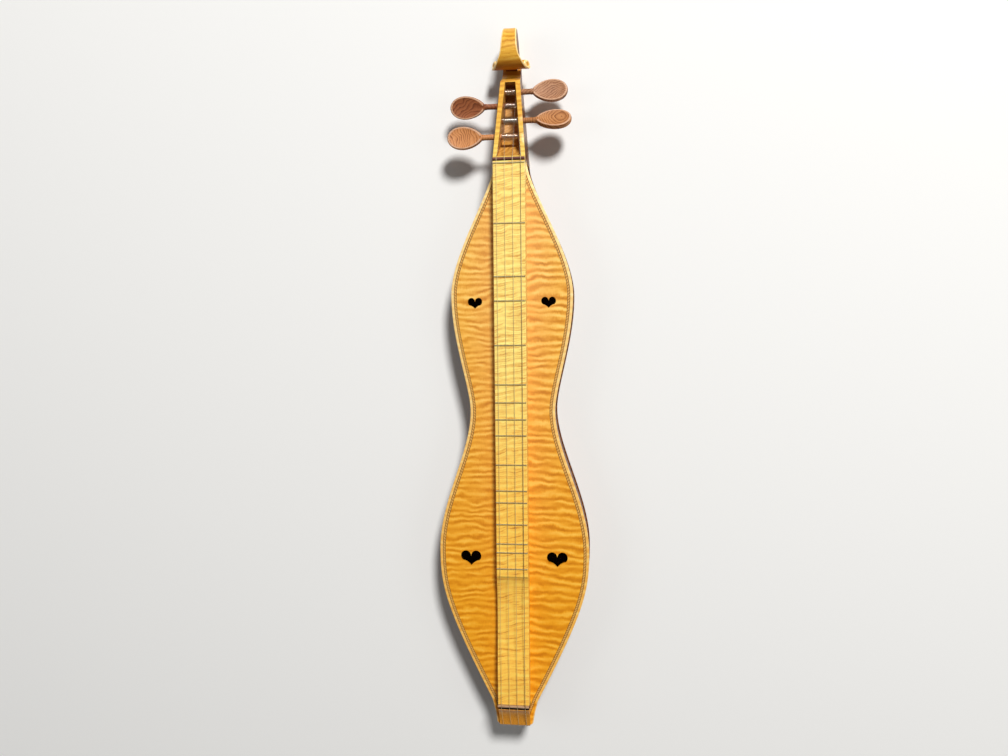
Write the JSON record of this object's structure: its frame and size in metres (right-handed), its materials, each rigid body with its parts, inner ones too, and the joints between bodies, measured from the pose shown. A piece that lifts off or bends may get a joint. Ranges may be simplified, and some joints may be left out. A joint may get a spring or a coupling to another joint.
{
  "type": "mountain dulcimer",
  "caption": "Hourglass fretted zither with a raised fretboard, heart-shaped sound holes, a rope inlay, a carved scroll head with an open pegbox, and wooden friction pegs",
  "frame": {"origin": "middle of the bounding box at the height of the back, on which the instrument lies", "axes": "+Y runs along the strings from the tail to the scroll, +Z from the back to the fingerboard, +X to the right of someone looking down from the tail"},
  "size_m": [0.1952, 0.9077, 0.0716],
  "materials": {
    "maple": "curly maple, amber gloss varnish",
    "maple_sides": "curly maple, amber gloss varnish",
    "fingerboard_maple": "pale curly maple, clear gloss varnish",
    "spruce": "unvarnished, planed",
    "rope_purfling": "inlaid strip of slanted dark and pale pieces between two dark lines",
    "rosewood": "oiled, satin",
    "bone": "polished bone",
    "steel_wire": "plain and wound music wire",
    "fret_wire": "nickel silver, polished crown"
  },
  "bodies": {
    "body": {"soundboard_left": "maple", "soundboard_right": "maple", "back_left": "maple_sides", "back_right": "maple_sides", "rib_left": "maple_sides", "rib_right": "maple_sides", "purfling_left": "rope_purfling", "purfling_right": "rope_purfling", "top_lining_left": "spruce", "top_lining_right": "spruce", "back_lining_left": "spruce", "back_lining_right": "spruce", "tail_block": "maple_sides", "fingerboard": "fingerboard_maple", "tailpiece": "fingerboard_maple", "headstock": "fingerboard_maple", "nut": "rosewood", "saddle": "bone", "zero_fret": "fret_wire", "top_brace_1": "spruce", "back_brace_1": "spruce", "top_brace_2": "spruce", "back_brace_2": "spruce", "top_brace_3": "spruce", "back_brace_3": "spruce", "fret_1": "fret_wire", "fret_2": "fret_wire", "fret_3": "fret_wire", "fret_4": "fret_wire", "fret_5": "fret_wire", "fret_6": "fret_wire", "fret_7": "fret_wire", "fret_8": "fret_wire", "fret_9": "fret_wire", "fret_10": "fret_wire", "fret_11": "fret_wire", "fret_12": "fret_wire", "fret_13": "fret_wire", "fret_14": "fret_wire", "fret_15": "fret_wire", "hitch_pin_1": "steel_wire", "string_1": "steel_wire", "hitch_pin_2": "steel_wire", "string_2": "steel_wire", "hitch_pin_3": "steel_wire", "string_3": "steel_wire", "hitch_pin_4": "steel_wire", "string_4": "steel_wire"},
    "peg_1": {"tuning_peg_1": "rosewood"},
    "peg_2": {"tuning_peg_2": "rosewood"},
    "peg_3": {"tuning_peg_3": "rosewood"},
    "peg_4": {"tuning_peg_4": "rosewood"}
  },
  "joints": [
    {"name": "peg_1_turn", "type": "hinge", "parent": "body", "child": "peg_1", "pos_m": [0, 0.37492, 0.02977], "axis": [1, 0, 0], "continuous": true},
    {"name": "peg_2_turn", "type": "hinge", "parent": "body", "child": "peg_2", "pos_m": [0, 0.35658, 0.03407], "axis": [-1, 0, 0], "continuous": true},
    {"name": "peg_3_turn", "type": "hinge", "parent": "body", "child": "peg_3", "pos_m": [0, 0.33611, 0.03869], "axis": [1, 0, 0], "continuous": true},
    {"name": "peg_4_turn", "type": "hinge", "parent": "body", "child": "peg_4", "pos_m": [0, 0.31548, 0.04316], "axis": [-1, 0, 0], "continuous": true}
  ]
}
